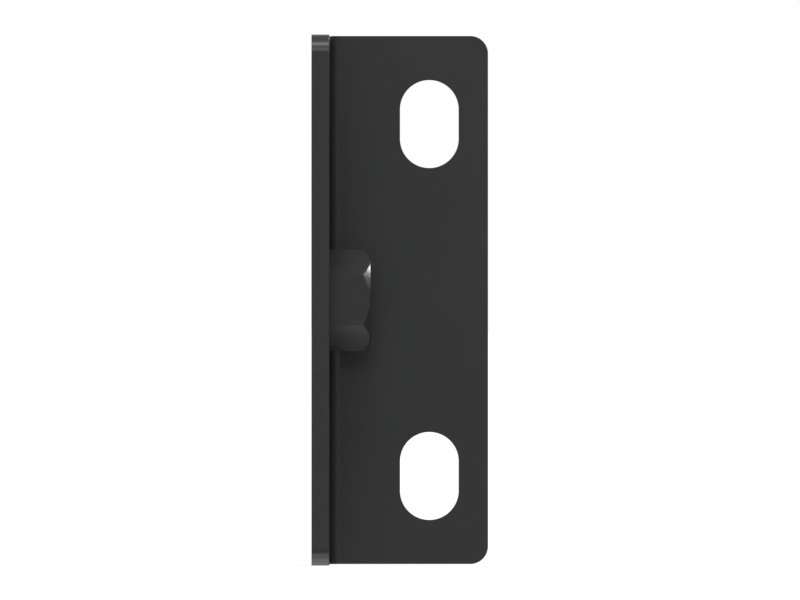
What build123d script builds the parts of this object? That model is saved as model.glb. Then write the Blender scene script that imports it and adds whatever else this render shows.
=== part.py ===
from build123d import *
import math
import os

# Driving dimensions, in millimetres. The origin is midway between the two slots, on the back
# of the leg that lies on the door. +Z runs up the bracket, +Y points into the door, and the
# side leg stands out of the door at the -X end.

# Angle bracket, folded from one strip of sheet steel
length = 90.0  # height of both legs
sheet = 3.0  # sheet thickness
door_leg = 30.0  # width of the slotted leg, measured over the side leg
side_leg = 30.0  # depth of the side leg, measured from the door
bend_radius = 2.0  # inside radius of the fold
corner_radius = 3.0  # free corners of both legs
slot_width = 10.0
slot_length = 15.0
slot_spacing = 60.0
slot_from_side = 20.0  # slot line to the outer face of the side leg

# Hexagon weld nut, on the inner face of the side leg
nut_across_flats = 15.0
nut_height = 7.0
nut_from_door = 15.0  # nut axis to the door
nut_end_inset = 0.1  # the free end's turned circle lies this far inside the flats
thread_diameter = 8.0
thread_pitch = 1.25
mouth_inset = 0.3  # how far each mouth of the bore is opened past the thread
collar_wall = 1.25  # round pilot collar, measured from the thread outwards
collar_length = 1.2
collar_chamfer = 0.3
collar_clearance = 0.1  # between the collar and its hole in the side leg, all round

# Projection welds, under every second corner of the nut
weld_count = 3
weld_land = 0.4  # metal left between each weld, the nut's flats and the collar's hole
weld_depth = 0.6  # into the nut, and as far into the side leg

# Sizes and places worked out from those
side_outer = -slot_from_side
side_inner = side_outer + sheet
free_edge = side_outer + door_leg
flat_reach = nut_across_flats / 2
corner_cosine = math.cos(math.radians(30))
corner_reach = flat_reach / corner_cosine
end_radius = flat_reach - nut_end_inset
bore_radius = (thread_diameter - thread_pitch) / 2
mouth_chamfer = thread_diameter / 2 + mouth_inset - bore_radius
collar_radius = thread_diameter / 2 + collar_wall
hole_radius = collar_radius + collar_clearance
weld_reach = (flat_reach + hole_radius) / (1 + corner_cosine)
weld_radius = weld_reach - hole_radius - weld_land

nut_origin = (side_inner, -nut_from_door, 0)
nut_seat = Plane(origin=nut_origin, x_dir=(0, 1, 0), z_dir=(1, 0, 0))
nut_section = Plane(origin=nut_origin, x_dir=(0, 1, 0), z_dir=(0, 0, -1))
nut_axis = Axis(nut_origin, (1, 0, 0))

os.makedirs("parts", exist_ok=True)

# The weld spots, shared by the nut, the side leg and the welds themselves
with BuildSketch(nut_seat) as weld_spots:
    with PolarLocations(weld_reach, weld_count, start_angle=90):
        Circle(weld_radius)

# One strip folded square: the door leg with its slots, and the side leg with the nut's hole
with BuildPart() as angle_bracket:
    with BuildSketch(Plane.XY.offset(-length / 2)):
        with BuildLine():
            FilletPolyline(
                (free_edge, 0),
                (side_outer, 0),
                (side_outer, -side_leg),
                radius=bend_radius + sheet,
            )
            offset(amount=sheet, side=Side.LEFT)
        make_face()
    extrude(amount=length)
    door_corners = angle_bracket.edges().filter_by(Axis.Y).group_by(Axis.X)[-1]
    side_corners = angle_bracket.edges().filter_by(Axis.X).group_by(Axis.Y)[0]
    fillet(door_corners + side_corners, radius=corner_radius)
    with BuildSketch(Plane.XZ):
        with GridLocations(0, slot_spacing, 1, 2):
            SlotOverall(slot_length, slot_width, rotation=90)
    extrude(amount=sheet, mode=Mode.SUBTRACT)
    with BuildSketch(nut_seat):
        Circle(hole_radius)
    extrude(amount=-sheet, mode=Mode.SUBTRACT)
    extrude(weld_spots.sketch, amount=-weld_depth, mode=Mode.SUBTRACT)
angle_bracket.part.label = "angle_bracket"

# Hexagon with a 45-degree chamfer turned on its free end and a round collar on its seat
with BuildPart() as weld_nut:
    with BuildSketch(nut_seat):
        RegularPolygon(flat_reach, 6, major_radius=False, rotation=30)
    extrude(amount=nut_height)
    with BuildSketch(nut_section):
        with BuildLine():
            Polyline(
                (0, 0),
                (corner_reach, 0),
                (corner_reach, nut_height - corner_reach + end_radius),
                (end_radius, nut_height),
                (0, nut_height),
                close=True,
            )
        make_face()
    revolve(axis=nut_axis, mode=Mode.INTERSECT)
    with BuildSketch(nut_seat):
        Circle(collar_radius)
    extrude(amount=-collar_length)
    chamfer(weld_nut.faces().sort_by(Axis.X)[0].edges(), length=collar_chamfer)
    with BuildSketch(nut_seat.offset(-collar_length)):
        Circle(bore_radius)
    extrude(amount=collar_length + nut_height, mode=Mode.SUBTRACT)
    mouths = weld_nut.edges().filter_by(GeomType.CIRCLE).group_by(SortBy.RADIUS)[0]
    chamfer(mouths, length=mouth_chamfer)
    extrude(weld_spots.sketch, amount=weld_depth, mode=Mode.SUBTRACT)
weld_nut.part.label = "weld_nut"

# The fused metal that holds the nut: half of each weld in the nut, half in the side leg
with BuildPart() as projection_welds:
    extrude(weld_spots.sketch, amount=weld_depth, both=True)
projection_welds.part.label = "projection_welds"

export_step(angle_bracket.part, "parts/angle_bracket.step")
export_step(weld_nut.part, "parts/weld_nut.step")
export_step(projection_welds.part, "parts/projection_welds.step")
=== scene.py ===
# Door chain guard bracket: a folded steel angle with a weld nut on its side leg, powder coated black
import math

import bpy
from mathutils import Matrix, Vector


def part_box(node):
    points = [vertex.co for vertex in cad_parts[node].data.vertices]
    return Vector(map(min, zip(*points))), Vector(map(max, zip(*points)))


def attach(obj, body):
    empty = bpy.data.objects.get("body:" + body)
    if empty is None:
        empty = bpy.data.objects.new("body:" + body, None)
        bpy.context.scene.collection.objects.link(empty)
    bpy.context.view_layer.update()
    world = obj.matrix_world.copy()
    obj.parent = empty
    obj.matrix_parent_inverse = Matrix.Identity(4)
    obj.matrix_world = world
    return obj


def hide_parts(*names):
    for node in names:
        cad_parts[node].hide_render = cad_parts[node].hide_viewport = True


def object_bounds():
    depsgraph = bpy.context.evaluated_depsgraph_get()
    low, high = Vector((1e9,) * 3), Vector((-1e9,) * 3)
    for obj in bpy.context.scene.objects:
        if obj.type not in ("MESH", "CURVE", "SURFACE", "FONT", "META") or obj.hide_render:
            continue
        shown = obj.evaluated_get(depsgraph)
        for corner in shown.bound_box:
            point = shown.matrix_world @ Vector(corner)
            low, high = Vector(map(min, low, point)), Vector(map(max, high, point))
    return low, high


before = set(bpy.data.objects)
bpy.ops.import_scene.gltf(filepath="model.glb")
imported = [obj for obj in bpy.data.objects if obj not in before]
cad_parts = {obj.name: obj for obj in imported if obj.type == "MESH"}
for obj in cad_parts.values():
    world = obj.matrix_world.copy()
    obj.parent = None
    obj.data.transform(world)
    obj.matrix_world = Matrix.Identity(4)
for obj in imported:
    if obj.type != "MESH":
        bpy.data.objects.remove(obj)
cadLow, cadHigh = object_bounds()
print("frame loaded,", len(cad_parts), "nodes")


class Wire:  # one output socket; sums on it add their own Math nodes
    def __init__(self, board, socket):
        self.board = board
        self.socket = socket

    def output(self, name):  # another output of the same node
        return Wire(self.board, self.socket.node.outputs[name])

    def __add__(self, other):
        return self.board.maths("ADD", self, other)

    def __radd__(self, other):
        return self.board.maths("ADD", other, self)

    def __sub__(self, other):
        return self.board.maths("SUBTRACT", self, other)

    def __rsub__(self, other):
        return self.board.maths("SUBTRACT", other, self)

    def __mul__(self, other):
        return self.board.maths("MULTIPLY", self, other)

    def __rmul__(self, other):
        return self.board.maths("MULTIPLY", other, self)

    def __truediv__(self, other):
        return self.board.maths("DIVIDE", self, other)

    def __rtruediv__(self, other):
        return self.board.maths("DIVIDE", other, self)

    def __neg__(self):
        return self.board.maths("MULTIPLY", self, -1)

    def __gt__(self, other):
        return self.board.maths("GREATER_THAN", self, other)

    def __lt__(self, other):
        return self.board.maths("LESS_THAN", self, other)


class NodeBoard:  # a node tree that is being wired
    def __init__(self, tree):
        self.tree = tree

    def add(self, kind, settings, sockets, output=0):
        node = self.tree.nodes.new(kind)
        for name, value in settings.items():
            if name == "items":
                self.growSwitch(node, value)
            else:
                setattr(node, name, value)
        for name, value in sockets.items():
            for part in value if isinstance(value, list) else [value]:
                if isinstance(part, Wire):
                    self.tree.links.new(part.socket, node.inputs[name])
                else:
                    node.inputs[name].default_value = part
        return Wire(self, node.outputs[output]) if node.outputs else None

    def growSwitch(self, node, count):  # an Index Switch starts with two items
        while len(node.index_switch_items) < count:
            node.index_switch_items.new()

    def maths(self, operation, *values):
        return self.add("ShaderNodeMath", {"operation": operation}, dict(enumerate(values)))

    def clamp(self, value, low, high):
        return self.maths("MINIMUM", self.maths("MAXIMUM", value, low), high)

    def separate(self, vector):
        parts = self.add("ShaderNodeSeparateXYZ", {}, {"Vector": vector})
        return parts, parts.output("Y"), parts.output("Z")

    def combine(self, x, y, z):
        return self.add("ShaderNodeCombineXYZ", {}, {"X": x, "Y": y, "Z": z})

    def blend(self, amount, first, second):  # colours, which Math nodes would turn grey
        sockets = {"Factor": amount, 6: first, 7: second}
        return self.add("ShaderNodeMix", {"data_type": "RGBA"}, sockets, 2)

    def noise(self, spot, size):  # size is about one bump of it, in metres
        return self.add("ShaderNodeTexNoise", {}, {"Vector": spot, "Scale": 1 / size})

    def bump(self, height):  # height in metres
        return self.add("ShaderNodeBump", {}, {"Strength": 1.0, "Distance": 1.0, "Height": height})


# Pieces grown by Geometry Nodes

mergeDistance = 0.000001
creaseAngle = math.radians(40)  # a steeper edge stays sharp


def growPiece(name, sizes, build, coat, finishers):
    tree = bpy.data.node_groups.new(name, "GeometryNodeTree")
    board = NodeBoard(tree)
    tree.interface.new_socket("Geometry", in_out="OUTPUT", socket_type="NodeSocketGeometry")
    identifiers = {}
    for label, value in sizes.items():
        kind = "NodeSocketInt" if isinstance(value, int) else "NodeSocketFloat"
        item = tree.interface.new_socket(label, in_out="INPUT", socket_type=kind)
        identifiers[label] = item.identifier
    source = tree.nodes.new("NodeGroupInput")
    size = {label: Wire(board, source.outputs[label]) for label in sizes}
    grown = build(board, size)
    merged = board.add("GeometryNodeMergeByDistance", {}, {"Geometry": grown, "Distance": mergeDistance})
    smooth = board.add("GeometryNodeSetShadeSmooth", {"domain": "FACE"}, {"Geometry": merged})
    turn = board.add("GeometryNodeInputMeshEdgeAngle", {}, {})
    creased = {"Geometry": smooth, "Selection": turn > creaseAngle, "Shade Smooth": False}
    sharp = board.add("GeometryNodeSetShadeSmooth", {"domain": "EDGE"}, creased)
    realised = board.add("GeometryNodeRealizeInstances", {}, {"Geometry": sharp})
    coated = board.add("GeometryNodeSetMaterial", {}, {"Geometry": realised, "Material": coat})
    board.add("NodeGroupOutput", {}, {0: coated})
    piece = bpy.data.objects.new(name, bpy.data.meshes.new(name))
    bpy.context.scene.collection.objects.link(piece)
    growth = piece.modifiers.new("growth", "NODES")
    growth.node_group = tree
    for label, value in sizes.items():
        growth[identifiers[label]] = value
    for kind, settings in finishers:
        finisher = piece.modifiers.new(kind.lower(), kind)
        for setting, value in settings.items():
            setattr(finisher, setting, value)
    bpy.context.view_layer.update()
    graph = bpy.context.evaluated_depsgraph_get()
    mesh = bpy.data.meshes.new_from_object(piece.evaluated_get(graph), depsgraph=graph)
    mesh.materials.clear()  # drops the empty slot that a grown mesh begins with
    mesh.materials.append(coat)
    piece.modifiers.clear()
    piece.data = mesh
    bpy.data.node_groups.remove(tree)
    print(name, "grown,", len(mesh.polygons), "faces")
    return piece


def place(piece, node):
    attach(piece, "root")
    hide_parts(node)


# Coats


def newMaterial(name):
    material = bpy.data.materials.new(name)
    material.use_nodes = True
    material.node_tree.nodes.clear()
    return material, NodeBoard(material.node_tree)


def powderCoat(name, finish):
    material, board = newMaterial(name)
    spot = board.add("ShaderNodeTexCoord", {}, {}, "Object")
    cloud = board.noise(spot, finish["cloudSize"])
    peel = board.noise(spot, finish["peelSize"])
    grain = board.noise(spot, finish["grainSize"])
    colour = board.blend(cloud, finish["darkest"], finish["lightest"])
    sheen = (cloud - 0.5) * finish["cloudSheen"] + (grain - 0.5) * finish["grainSheen"]
    height = peel * finish["peelHeight"] + grain * finish["grainHeight"]
    sockets = {
        "Base Color": colour,
        "Roughness": finish["roughness"] + sheen,
        "Normal": board.bump(height),
        "IOR": finish["ior"],
        "Specular IOR Level": finish["specular"],
    }
    shader = board.add("ShaderNodeBsdfPrincipled", {}, sockets)
    board.add("ShaderNodeOutputMaterial", {}, {"Surface": shader})
    return material


coatFinish = {
    "darkest": (0.021, 0.021, 0.0214, 1),
    "lightest": (0.024, 0.024, 0.0244, 1),
    "roughness": 0.31,
    "cloudSize": 0.011,  # slow drift of the film's thickness
    "cloudSheen": 0.05,
    "peelSize": 0.0011,  # orange peel of the cured powder
    "peelHeight": 0.0000018,
    "grainSize": 0.00028,
    "grainHeight": 0.0000003,
    "grainSheen": 0.02,
    "ior": 1.5,
    "specular": 0.5,
}
nutFinish = {
    **coatFinish,
    "peelHeight": 0.0000008,  # the film is thinner and smoother on the nut
    "grainHeight": 0.00000015,
}
bracketCoat = powderCoat("bracketCoat", coatFinish)
nutCoat = powderCoat("nutCoat", nutFinish)
print("coats mixed")

# Folded bracket: one flat blank, given its thickness and bent square

bracketLow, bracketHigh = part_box("angle_bracket")
bracket = {
    "Height": bracketHigh.z - bracketLow.z,
    "Door Leg": bracketHigh.x - bracketLow.x,
    "Side Leg": bracketHigh.y - bracketLow.y,
    "Sheet": 0.003,
    "Bend Radius": 0.002,  # inside
    "Corner Radius": 0.003,
    "Slot Width": 0.010,
    "Slot Length": 0.015,
    "Slot Spacing": 0.060,
    "Slot From Side": 0.020,
    "Slot Count": 2,
    "Nut From Door": 0.015,
    "Collar Hole": 0.00535,  # radius
    "Bend Steps": 16,
    "Corner Steps": 16,
    "Hole Steps": 96,
}
rimRadius = 0.00006  # what the coat leaves of the sheared rims


def cutOutline(board, width, height, centre, radius, steps):
    sheet = board.add("GeometryNodeCurvePrimitiveQuadrilateral", {}, {"Width": width, "Height": height})
    placed = board.add("GeometryNodeTransform", {}, {"Geometry": sheet, "Translation": centre})
    sockets = {"Curve": placed, "Radius": radius, "Limit Radius": True, "Count": steps}
    return board.add("GeometryNodeFilletCurve", {"mode": "POLY"}, sockets)


def buildBracket(board, size):
    outerRadius = size["Bend Radius"] + size["Sheet"]
    bendRun = (size["Bend Radius"] + size["Sheet"] / 2) * (math.pi / 2)
    doorRun = size["Door Leg"] - outerRadius
    sideRun = size["Side Leg"] - outerRadius
    # The blank lies on XY: door leg to the right of the fold, side leg to the left of it
    along, across, depth = board.separate(board.add("GeometryNodeInputPosition", {}, {}))
    free = (along > doorRun / 2) + (along < -bendRun - sideRun / 2)
    corner = size["Corner Radius"] * free
    doorMiddle = board.combine(doorRun / 2, 0.0, 0.0)
    sideMiddle = board.combine(-bendRun - sideRun / 2, 0.0, 0.0)
    doorLeg = cutOutline(board, doorRun, size["Height"], doorMiddle, corner, size["Corner Steps"])
    sideLeg = cutOutline(board, sideRun, size["Height"], sideMiddle, corner, size["Corner Steps"])
    slotHalf = size["Slot Width"] / 2
    slotSteps = size["Corner Steps"] * 2
    slotShape = cutOutline(board, size["Slot Width"], size["Slot Length"], (0, 0, 0), slotHalf, slotSteps)
    slotLine = board.combine(size["Slot From Side"] - outerRadius, -size["Slot Spacing"] / 2, 0.0)
    slotStep = board.combine(0.0, size["Slot Spacing"], 0.0)
    lineSockets = {"Count": size["Slot Count"], "Start Location": slotLine, "Offset": slotStep}
    slotSpots = board.add("GeometryNodeMeshLine", {}, lineSockets)
    slots = board.add("GeometryNodeInstanceOnPoints", {}, {"Points": slotSpots, "Instance": slotShape})
    slotCuts = board.add("GeometryNodeRealizeInstances", {}, {"Geometry": slots})
    ringSockets = {"Resolution": size["Hole Steps"], "Radius": size["Collar Hole"]}
    ring = board.add("GeometryNodeCurvePrimitiveCircle", {}, ringSockets)
    nutSpot = board.combine(outerRadius - bendRun - size["Nut From Door"], 0.0, 0.0)
    collarHole = board.add("GeometryNodeTransform", {}, {"Geometry": ring, "Translation": nutSpot})
    outlines = board.add("GeometryNodeJoinGeometry", {}, {0: [doorLeg, sideLeg, slotCuts, collarHole]})
    legs = board.add("GeometryNodeFillCurve", {"mode": "NGONS"}, {"Curve": outlines})
    stripSockets = {"Size X": bendRun, "Size Y": size["Height"]}
    stripSockets.update({"Vertices X": size["Bend Steps"] + 1, "Vertices Y": 2})
    strip = board.add("GeometryNodeMeshGrid", {}, stripSockets)
    stripMiddle = board.combine(bendRun / -2, 0.0, 0.0)
    fold = board.add("GeometryNodeTransform", {}, {"Geometry": strip, "Translation": stripMiddle})
    joined = board.add("GeometryNodeJoinGeometry", {}, {0: [legs, fold]})
    blank = board.add("GeometryNodeMergeByDistance", {}, {"Geometry": joined, "Distance": mergeDistance})
    back = board.add("GeometryNodeFlipFaces", {}, {"Mesh": blank})
    raiseSockets = {"Mesh": blank, "Offset": (0, 0, 1), "Offset Scale": size["Sheet"], "Individual": False}
    front = board.add("GeometryNodeExtrudeMesh", {"mode": "FACES"}, raiseSockets)
    solid = board.add("GeometryNodeJoinGeometry", {}, {0: [back, front]})
    closed = board.add("GeometryNodeMergeByDistance", {}, {"Geometry": solid, "Distance": mergeDistance})
    # The fold: each point turns about the bend's axis by its share of the bent stretch
    turn = board.clamp(-along / bendRun, 0.0, 1.0) * (math.pi / 2)
    pastDoor = board.maths("MAXIMUM", along, 0.0)
    pastSide = board.maths("MAXIMUM", -along - bendRun, 0.0)
    reach = outerRadius - depth
    bendLine = bracketLow.x + outerRadius
    foldedX = bendLine + pastDoor - reach * board.maths("SINE", turn)
    foldedY = bracketHigh.y - outerRadius + reach * board.maths("COSINE", turn) - pastSide
    folded = board.combine(foldedX, foldedY, across + (bracketHigh.z + bracketLow.z) / 2)
    return board.add("GeometryNodeSetPosition", {}, {"Geometry": closed, "Position": folded})


rimBevel = {"width": rimRadius, "segments": 3, "limit_method": "ANGLE", "angle_limit": creaseAngle}
bracketFinishers = [
    ("BEVEL", rimBevel),
    ("WEIGHTED_NORMAL", {"mode": "FACE_AREA", "keep_sharp": False}),
]
foldedBracket = growPiece("foldedBracket", bracket, buildBracket, bracketCoat, bracketFinishers)
place(foldedBracket, "angle_bracket")

# Weld nut: a hexagon with a turned chamfer, a pilot collar in the leg's hole and a real thread

nutLow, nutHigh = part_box("weld_nut")
nut = {
    "Seat": bracketLow.x + bracket["Sheet"],
    "Free End": nutHigh.x,
    "Collar End": nutLow.x,
    "Axis Y": (nutLow.y + nutHigh.y) / 2,
    "Axis Z": (nutLow.z + nutHigh.z) / 2,
    "Flat": (nutHigh.y - nutLow.y) / 2,  # axis to a flat
    "End Inset": 0.0001,  # the end's circle lies this far inside the flats
    "Corner Rounding": 0.00002,
    "Edge Rounding": 0.00006,
    "Collar": 0.00525,  # radius
    "Collar Chamfer": 0.0003,
    "Mouth": 0.0043,  # radius of both mouths of the bore
    "Minor": 0.003375,
    "Major": 0.0040,
    "Pitch": 0.00125,
    "Crest Flat": 0.25,  # share of the pitch
    "Root Flat": 0.125,
    "Corner Steps": 4,  # from a corner's middle to where it meets the flat
    "Flat Steps": 6,  # from there to the middle of the flat
    "Edge Steps": 4,
    "Pitch Steps": 16,
}


def ringAngle(board, size, column, corner):
    # Columns crowd at the rounded corners; half a flat is one run from its corner to its middle
    halfSteps = size["Corner Steps"] + size["Flat Steps"]
    sector = board.maths("FLOOR", column / (halfSteps * 2) + 0.5)
    offset = column - sector * halfSteps * 2
    steps = halfSteps - board.maths("ABSOLUTE", offset)  # counted from the nearer corner
    near = board.maths("MINIMUM", steps / size["Corner Steps"], 1.0)
    far = board.maths("MAXIMUM", steps - size["Corner Steps"], 0.0) / size["Flat Steps"]
    fromCorner = corner * near + (math.pi / 6 - corner) * far
    side = board.maths("SIGN", offset)
    return sector * (math.pi / 3) + side * (math.pi / 6 - fromCorner), fromCorner


def buildNut(board, size):
    halfSteps = size["Corner Steps"] + size["Flat Steps"]
    columns = halfSteps * 12  # six flats of two halves
    flat = size["Flat"]
    rounding = size["Corner Rounding"]
    cornerCentre = (flat - rounding) / math.cos(math.pi / 6)
    tangentAcross = rounding * math.sin(math.pi / 6)
    tangentAlong = cornerCentre + rounding * math.cos(math.pi / 6)
    cornerAngle = board.maths("ARCTAN2", tangentAcross, tangentAlong)
    gridX, gridY = board.separate(board.add("GeometryNodeInputPosition", {}, {}))[:2]
    column = board.maths("ROUND", gridX)
    row = board.maths("ROUND", gridY)
    angle, fromCorner = ringAngle(board, size, column, cornerAngle)
    # Distance from the axis to the rounded hexagon
    onFlat = flat / board.maths("COSINE", math.pi / 6 - fromCorner)
    sway = cornerCentre * board.maths("SINE", fromCorner)
    inside = board.maths("MAXIMUM", rounding * rounding - sway * sway, 0.0)
    onCorner = cornerCentre * board.maths("COSINE", fromCorner) + board.maths("SQRT", inside)
    isCorner = fromCorner < cornerAngle
    hexagon = onFlat + (onCorner - onFlat) * isCorner
    # Two small arcs join the flat, the turned chamfer and the end face
    edge = size["Edge Rounding"]
    endCircle = flat - size["End Inset"]
    coneSum = size["Free End"] + endCircle - edge * math.sqrt(2)
    flatArcR = hexagon - edge
    flatArcX = board.maths("MINIMUM", coneSum - flatArcR, size["Free End"] - edge)
    endArcX = size["Free End"] - edge
    endArcR = board.maths("MINIMUM", coneSum - endArcX, flatArcR)
    collarTop = size["Collar End"] + size["Collar Chamfer"]
    rows = [
        (size["Mouth"], size["Collar End"]),
        (size["Collar"] - size["Collar Chamfer"], size["Collar End"]),
        (size["Collar"], collarTop),
        (size["Collar"], size["Seat"]),
        (hexagon, size["Seat"]),
    ]
    for centreR, centreX, start in [(flatArcR, flatArcX, 0.0), (endArcR, endArcX, math.pi / 4)]:
        for step in range(nut["Edge Steps"] + 1):
            tilt = start + math.pi / 4 * step / nut["Edge Steps"]
            rows.append((centreR + edge * math.cos(tilt), centreX + edge * math.sin(tilt)))
    rows.append((size["Mouth"], size["Free End"]))
    radii = {"Index": row}
    places = {"Index": row}
    for number, (radius, spot) in enumerate(rows):
        radii[number + 1] = radius
        places[number + 1] = spot
    switch = {"data_type": "FLOAT", "items": len(rows)}
    bodyR = board.add("GeometryNodeIndexSwitch", switch, radii)
    bodyX = board.add("GeometryNodeIndexSwitch", switch, places)

    def wrap(gridRows, radius, spot):  # rolls a flat grid round the axis
        sockets = {"Size X": columns, "Size Y": gridRows}
        sockets.update({"Vertices X": columns + 1, "Vertices Y": gridRows + 1})
        sheet = board.add("GeometryNodeMeshGrid", {}, sockets)
        middle = board.combine(columns / 2, gridRows / 2, 0.0)
        moved = board.add("GeometryNodeTransform", {}, {"Geometry": sheet, "Translation": middle})
        ringY = size["Axis Y"] + radius * board.maths("COSINE", angle)
        ringZ = size["Axis Z"] + radius * board.maths("SINE", angle)
        rolled = board.combine(spot, ringY, ringZ)
        return board.add("GeometryNodeSetPosition", {}, {"Geometry": moved, "Position": rolled})

    body = wrap(len(rows) - 1, bodyR, bodyX)
    # Thread: the rows climb one pitch a turn, so that each crest is one unbroken edge
    turns = angle / (math.pi * 2)
    length = size["Free End"] - size["Collar End"]
    level = row / size["Pitch Steps"] - 1.0  # in pitches, from the collar end
    climbed = size["Collar End"] + size["Pitch"] * (level + turns)
    threadX = board.clamp(climbed, size["Collar End"], size["Free End"])
    wave = board.maths("ABSOLUTE", board.maths("FRACT", level) * 2 - 1.0)
    flank = 1.0 - size["Crest Flat"] - size["Root Flat"]
    depth = board.clamp((wave - size["Crest Flat"]) / flank, 0.0, 1.0)
    threadR = size["Minor"] + (size["Major"] - size["Minor"]) * depth
    sinkA = size["Mouth"] - (threadX - size["Collar End"])
    sinkB = size["Mouth"] - (size["Free End"] - threadX)
    openedR = board.maths("MAXIMUM", board.maths("MAXIMUM", threadR, sinkA), sinkB)
    threadRows = board.maths("CEIL", (length / size["Pitch"] + 1.0) * size["Pitch Steps"])
    wall = wrap(threadRows, openedR, threadX)
    inward = board.add("GeometryNodeFlipFaces", {}, {"Mesh": wall})
    return board.add("GeometryNodeJoinGeometry", {}, {0: [body, inward]})


nutFinishers = [("WEIGHTED_NORMAL", {"mode": "FACE_AREA", "keep_sharp": True})]
hexWeldNut = growPiece("hexWeldNut", nut, buildNut, nutCoat, nutFinishers)
place(hexWeldNut, "weld_nut")

# Projection welds: sealed between the nut and the leg, bare fused steel

weldFinish = {
    "dull": (0.27, 0.26, 0.25, 1),
    "bright": (0.42, 0.41, 0.40, 1),
    "rippleSize": 0.0005,
    "rippleHeight": 0.00002,
    "rippleSheen": 0.2,
    "roughness": 0.45,
}


def fusedSteel(name, finish):
    material, board = newMaterial(name)
    spot = board.add("ShaderNodeTexCoord", {}, {}, "Object")
    ripple = board.noise(spot, finish["rippleSize"])
    colour = board.blend(ripple, finish["dull"], finish["bright"])
    height = ripple * finish["rippleHeight"]
    roughness = finish["roughness"] + (ripple - 0.5) * finish["rippleSheen"]
    sockets = {"Base Color": colour, "Roughness": roughness, "Metallic": 1.0, "Normal": board.bump(height)}
    shader = board.add("ShaderNodeBsdfPrincipled", {}, sockets)
    board.add("ShaderNodeOutputMaterial", {}, {"Surface": shader})
    return material


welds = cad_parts["projection_welds"]
weldSteel = fusedSteel("weldSteel", weldFinish)
for weldSlot in welds.material_slots:
    weldSlot.material = weldSteel
print("welds finished")

# Floor, light and camera

studio = {
    "floorSize": 60.0,
    "floorColour": (0.2, 0.2, 0.2, 1),
    "floorGlow": 0.85,
    "backdrop": 1.0,  # what the camera sees past the floor
    "around": 0.15,  # the room's own light
    # Most of these strengths were solved by a separate fitting program and rounded, not set by hand
    "lights": [  # direction, half angle in degrees, soft edge in degrees, strength
        ((-0.1, -1.0, 0.0), 40, 20, 0.26),  # broad fill behind the camera
        ((-0.7, -0.7, 0.0), 25, 15, 0.18),
        ((0.45, -0.89, 0.0), 12, 8, 0.1),
        ((0.65, -0.76, 0.0), 14, 8, 0.28),
        ((0.85, -0.53, 0.0), 12, 8, 0.1),
        ((-1.0, 0.2, 0.1), 35, 20, 0.8),
        ((0.0, -0.2, 1.0), 38, 12, 0.23),  # overhead, with strip lights in front of it
        ((0.0, -0.25, 0.97), 14, 8, 0.84),
        ((0.0, -0.50, 0.866), 7, 3, 2.24),
        ((0.0, -0.60, 0.80), 8, 3, 7.2),
        ((0.0, -0.94, 0.34), 7, 4, 4.76),
        ((0.0, 0.5, 0.87), 16, 8, 0.42),
        ((0.0, 0.93, 0.37), 10, 6, 1.0),
        ((0.0, -0.67, -0.74), 8, 4, 3.8),  # below, from front to back
        ((0.0, -0.35, -0.94), 8, 4, 2.67),
        ((0.0, 0.0, -1.0), 9, 4, 4.26),
        ((0.0, 0.45, -0.89), 9, 4, 2.14),
        ((0.0, 0.7, -0.7), 14, 7, 0.77),
        ((0.625, 0.605, 0.49), 7, 3, 78.0),  # lamp behind, to the right
        ((0.83, 0.33, 0.45), 14, 10, 1.02),
    ],
}


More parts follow.
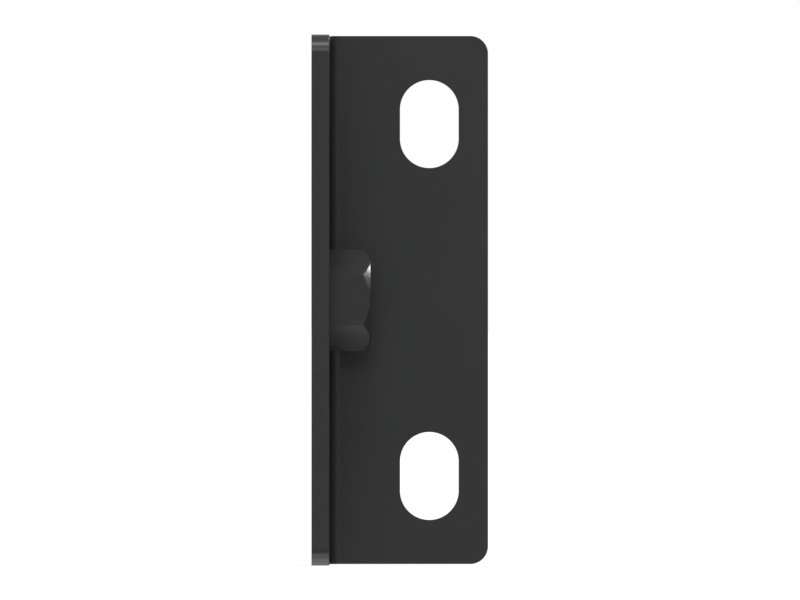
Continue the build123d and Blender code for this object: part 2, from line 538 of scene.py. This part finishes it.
def buildWorld(settings):
    world = bpy.data.worlds.new("studioLight")
    world.use_nodes = True
    world.node_tree.nodes.clear()
    bpy.context.scene.world = world
    board = NodeBoard(world.node_tree)
    direction = board.add("ShaderNodeTexCoord", {}, {}, "Generated")
    light = settings["around"]
    for aim, half, soft, strength in settings["lights"]:
        aimed = {0: direction, 1: Vector(aim).normalized()}
        facing = board.add("ShaderNodeVectorMath", {"operation": "DOT_PRODUCT"}, aimed, "Value")
        full = math.cos(math.radians(half - soft))
        none = math.cos(math.radians(half + soft))
        ramp = board.clamp((facing - none) / (full - none), 0.0, 1.0)
        light = light + ramp * strength
    seen = board.add("ShaderNodeLightPath", {}, {}, "Is Camera Ray")
    strength = light + (settings["backdrop"] - light) * seen
    glow = board.add("ShaderNodeBackground", {}, {"Color": (1, 1, 1, 1), "Strength": strength})
    board.add("ShaderNodeOutputWorld", {}, {"Surface": glow})


def buildFloor(settings):
    half = settings["floorSize"] / 2
    corners = [(-half, -half), (half, -half), (half, half), (-half, half)]
    mesh = bpy.data.meshes.new("floor")
    mesh.from_pydata([(x, y, cadLow.z) for x, y in corners], [], [(0, 1, 2, 3)])
    floor = bpy.data.objects.new("floor", mesh)
    bpy.context.scene.collection.objects.link(floor)
    material, board = newMaterial("floorPaper")
    paper = board.add("ShaderNodeBsdfDiffuse", {}, {"Color": settings["floorColour"]})
    glow = board.add("ShaderNodeEmission", {}, {"Color": (1, 1, 1, 1), "Strength": settings["floorGlow"]})
    lit = board.add("ShaderNodeAddShader", {}, {0: paper, 1: glow})
    board.add("ShaderNodeOutputMaterial", {}, {"Surface": lit})
    mesh.materials.append(material)
    floor.visible_diffuse = False  # the room below lights the object, not the paper
    floor.visible_glossy = False
    floor.visible_shadow = False


camera = {
    "lens": 1100.0,
    "sensor": 36.0,
    "wide": 0.13636,  # what the frame takes in at the door leg
    "clipStart": 0.1,
    "clipEnd": 200.0,
}


def buildCamera(settings):
    lens = bpy.data.cameras.new("camera")
    lens.lens = settings["lens"]
    lens.sensor_width = settings["sensor"]
    away = cadHigh.y - bracket["Sheet"] - settings["wide"] * settings["lens"] / settings["sensor"]
    lens.clip_start = settings["clipStart"]
    lens.clip_end = settings["clipEnd"]
    eye = bpy.data.objects.new("camera", lens)
    eye.location = ((cadLow.x + cadHigh.x) / 2, away, (cadLow.z + cadHigh.z) / 2)
    eye.rotation_euler = (math.pi / 2, 0, 0)
    bpy.context.scene.collection.objects.link(eye)
    bpy.context.scene.camera = eye


buildWorld(studio)
buildFloor(studio)
buildCamera(camera)
bpy.context.scene.view_settings.view_transform = "Standard"
print("studio set")
